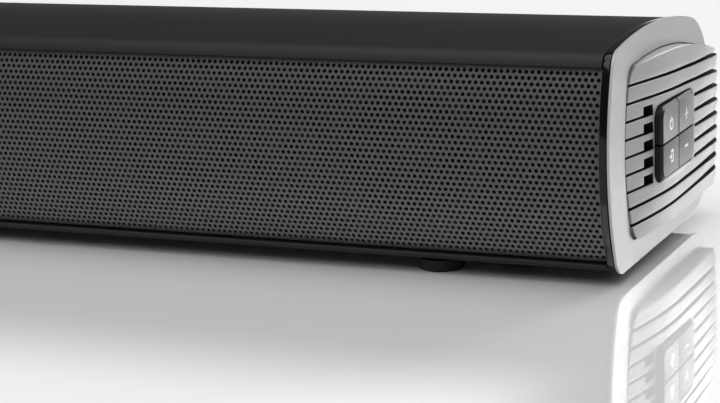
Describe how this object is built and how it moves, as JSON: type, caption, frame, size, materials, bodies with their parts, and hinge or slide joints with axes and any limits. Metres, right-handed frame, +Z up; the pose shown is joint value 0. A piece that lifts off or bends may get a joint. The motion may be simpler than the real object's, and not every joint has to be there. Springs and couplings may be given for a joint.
{
  "type": "soundbar",
  "caption": "Free-standing soundbar with a bowed perforated front, light grey end frames, louvred end caps, side push buttons and full-range drivers inside.",
  "frame": {"origin": "on the surface that the feet stand on, under the middle of the bar's overall box", "axes": "+X along the bar to the right-hand end with the buttons, +Y to the back, +Z up"},
  "size_m": [0.8224, 0.118, 0.0763],
  "materials": {
    "charcoal_plastic": "fine matte moulded texture",
    "black_sheet": "satin dark painted perforated sheet",
    "gloss_black": "high gloss",
    "silver_plastic": "satin light grey",
    "louvre_grey": "satin mid to light grey",
    "button_grey": "satin mid grey with white printed symbols",
    "black_plastic": "matte",
    "board_wood": "black-stained fibreboard",
    "rubber": "matte rubber",
    "circuit_board": "green solder mask on glass-fibre board",
    "steel": "plated steel",
    "black_steel": "satin black painted pressed steel",
    "ferrite": "sintered ferrite and dark steel",
    "paper_cone": "coated paper pulp",
    "aluminium": "plain",
    "copper_wound": "taped winding on a laminated core"
  },
  "bodies": {
    "housing": {"top_cover": "charcoal_plastic", "rear_panel_left": "charcoal_plastic", "rear_panel_right": "charcoal_plastic", "front_grille": "black_sheet", "wall_plate_left": "black_sheet", "wall_plate_right": "black_sheet", "end_band_right": "gloss_black", "end_band_left": "gloss_black", "remote_receiver": "gloss_black", "end_frame_right": "silver_plastic", "end_frame_left": "silver_plastic", "end_cap_right": "louvre_grey", "end_cap_left": "louvre_grey", "bottom_cover": "black_plastic", "end_bulkhead_right": "black_plastic", "end_bulkhead_left": "black_plastic", "mains_inlet": "black_plastic", "phono_socket_block": "black_plastic", "optical_socket": "black_plastic", "aux_socket": "black_plastic", "front_baffle": "board_wood", "button_keymat": "rubber", "rubber_foot_1": "rubber", "rubber_foot_2": "rubber", "rubber_foot_3": "rubber", "rubber_foot_4": "rubber", "speaker_surround_1": "rubber", "speaker_surround_2": "rubber", "speaker_surround_3": "rubber", "speaker_surround_4": "rubber", "switch_board": "circuit_board", "amplifier_board": "circuit_board", "power_board": "circuit_board", "receiver_board": "circuit_board", "rear_screw_1": "steel", "rear_screw_2": "steel", "rear_screw_3": "steel", "rear_screw_4": "steel", "rear_screw_5": "steel", "rear_screw_6": "steel", "speaker_basket_1": "black_steel", "speaker_basket_2": "black_steel", "speaker_basket_3": "black_steel", "speaker_basket_4": "black_steel", "speaker_magnet_1": "ferrite", "speaker_magnet_2": "ferrite", "speaker_magnet_3": "ferrite", "speaker_magnet_4": "ferrite", "heat_sink": "aluminium", "smoothing_capacitor_1": "aluminium", "smoothing_capacitor_2": "aluminium", "power_transformer": "copper_wound"},
    "button_power": {"button_power": "button_grey"},
    "button_volume_up": {"button_volume_up": "button_grey"},
    "button_source": {"button_source": "button_grey"},
    "button_volume_down": {"button_volume_down": "button_grey"},
    "speaker_cone_1": {"speaker_cone_1": "paper_cone"},
    "speaker_cone_2": {"speaker_cone_2": "paper_cone"},
    "speaker_cone_3": {"speaker_cone_3": "paper_cone"},
    "speaker_cone_4": {"speaker_cone_4": "paper_cone"}
  },
  "joints": [
    {"name": "button_power_press", "type": "slide", "parent": "housing", "child": "button_power", "axis": [-1, 0, 0], "range_m": [0, 0.0006], "stiffness_N_per_m": 600},
    {"name": "button_volume_up_press", "type": "slide", "parent": "housing", "child": "button_volume_up", "axis": [-1, 0, 0], "range_m": [0, 0.0006], "stiffness_N_per_m": 600},
    {"name": "button_source_press", "type": "slide", "parent": "housing", "child": "button_source", "axis": [-1, 0, 0], "range_m": [0, 0.0006], "stiffness_N_per_m": 600},
    {"name": "button_volume_down_press", "type": "slide", "parent": "housing", "child": "button_volume_down", "axis": [-1, 0, 0], "range_m": [0, 0.0006], "stiffness_N_per_m": 600},
    {"name": "speaker_cone_1_excursion", "type": "slide", "parent": "housing", "child": "speaker_cone_1", "axis": [0, 1, 0], "range_m": [-0.002, 0.002], "stiffness_N_per_m": 1500},
    {"name": "speaker_cone_2_excursion", "type": "slide", "parent": "housing", "child": "speaker_cone_2", "axis": [0, 1, 0], "range_m": [-0.002, 0.002], "stiffness_N_per_m": 1500},
    {"name": "speaker_cone_3_excursion", "type": "slide", "parent": "housing", "child": "speaker_cone_3", "axis": [0, 1, 0], "range_m": [-0.002, 0.002], "stiffness_N_per_m": 1500},
    {"name": "speaker_cone_4_excursion", "type": "slide", "parent": "housing", "child": "speaker_cone_4", "axis": [0, 1, 0], "range_m": [-0.002, 0.002], "stiffness_N_per_m": 1500}
  ]
}
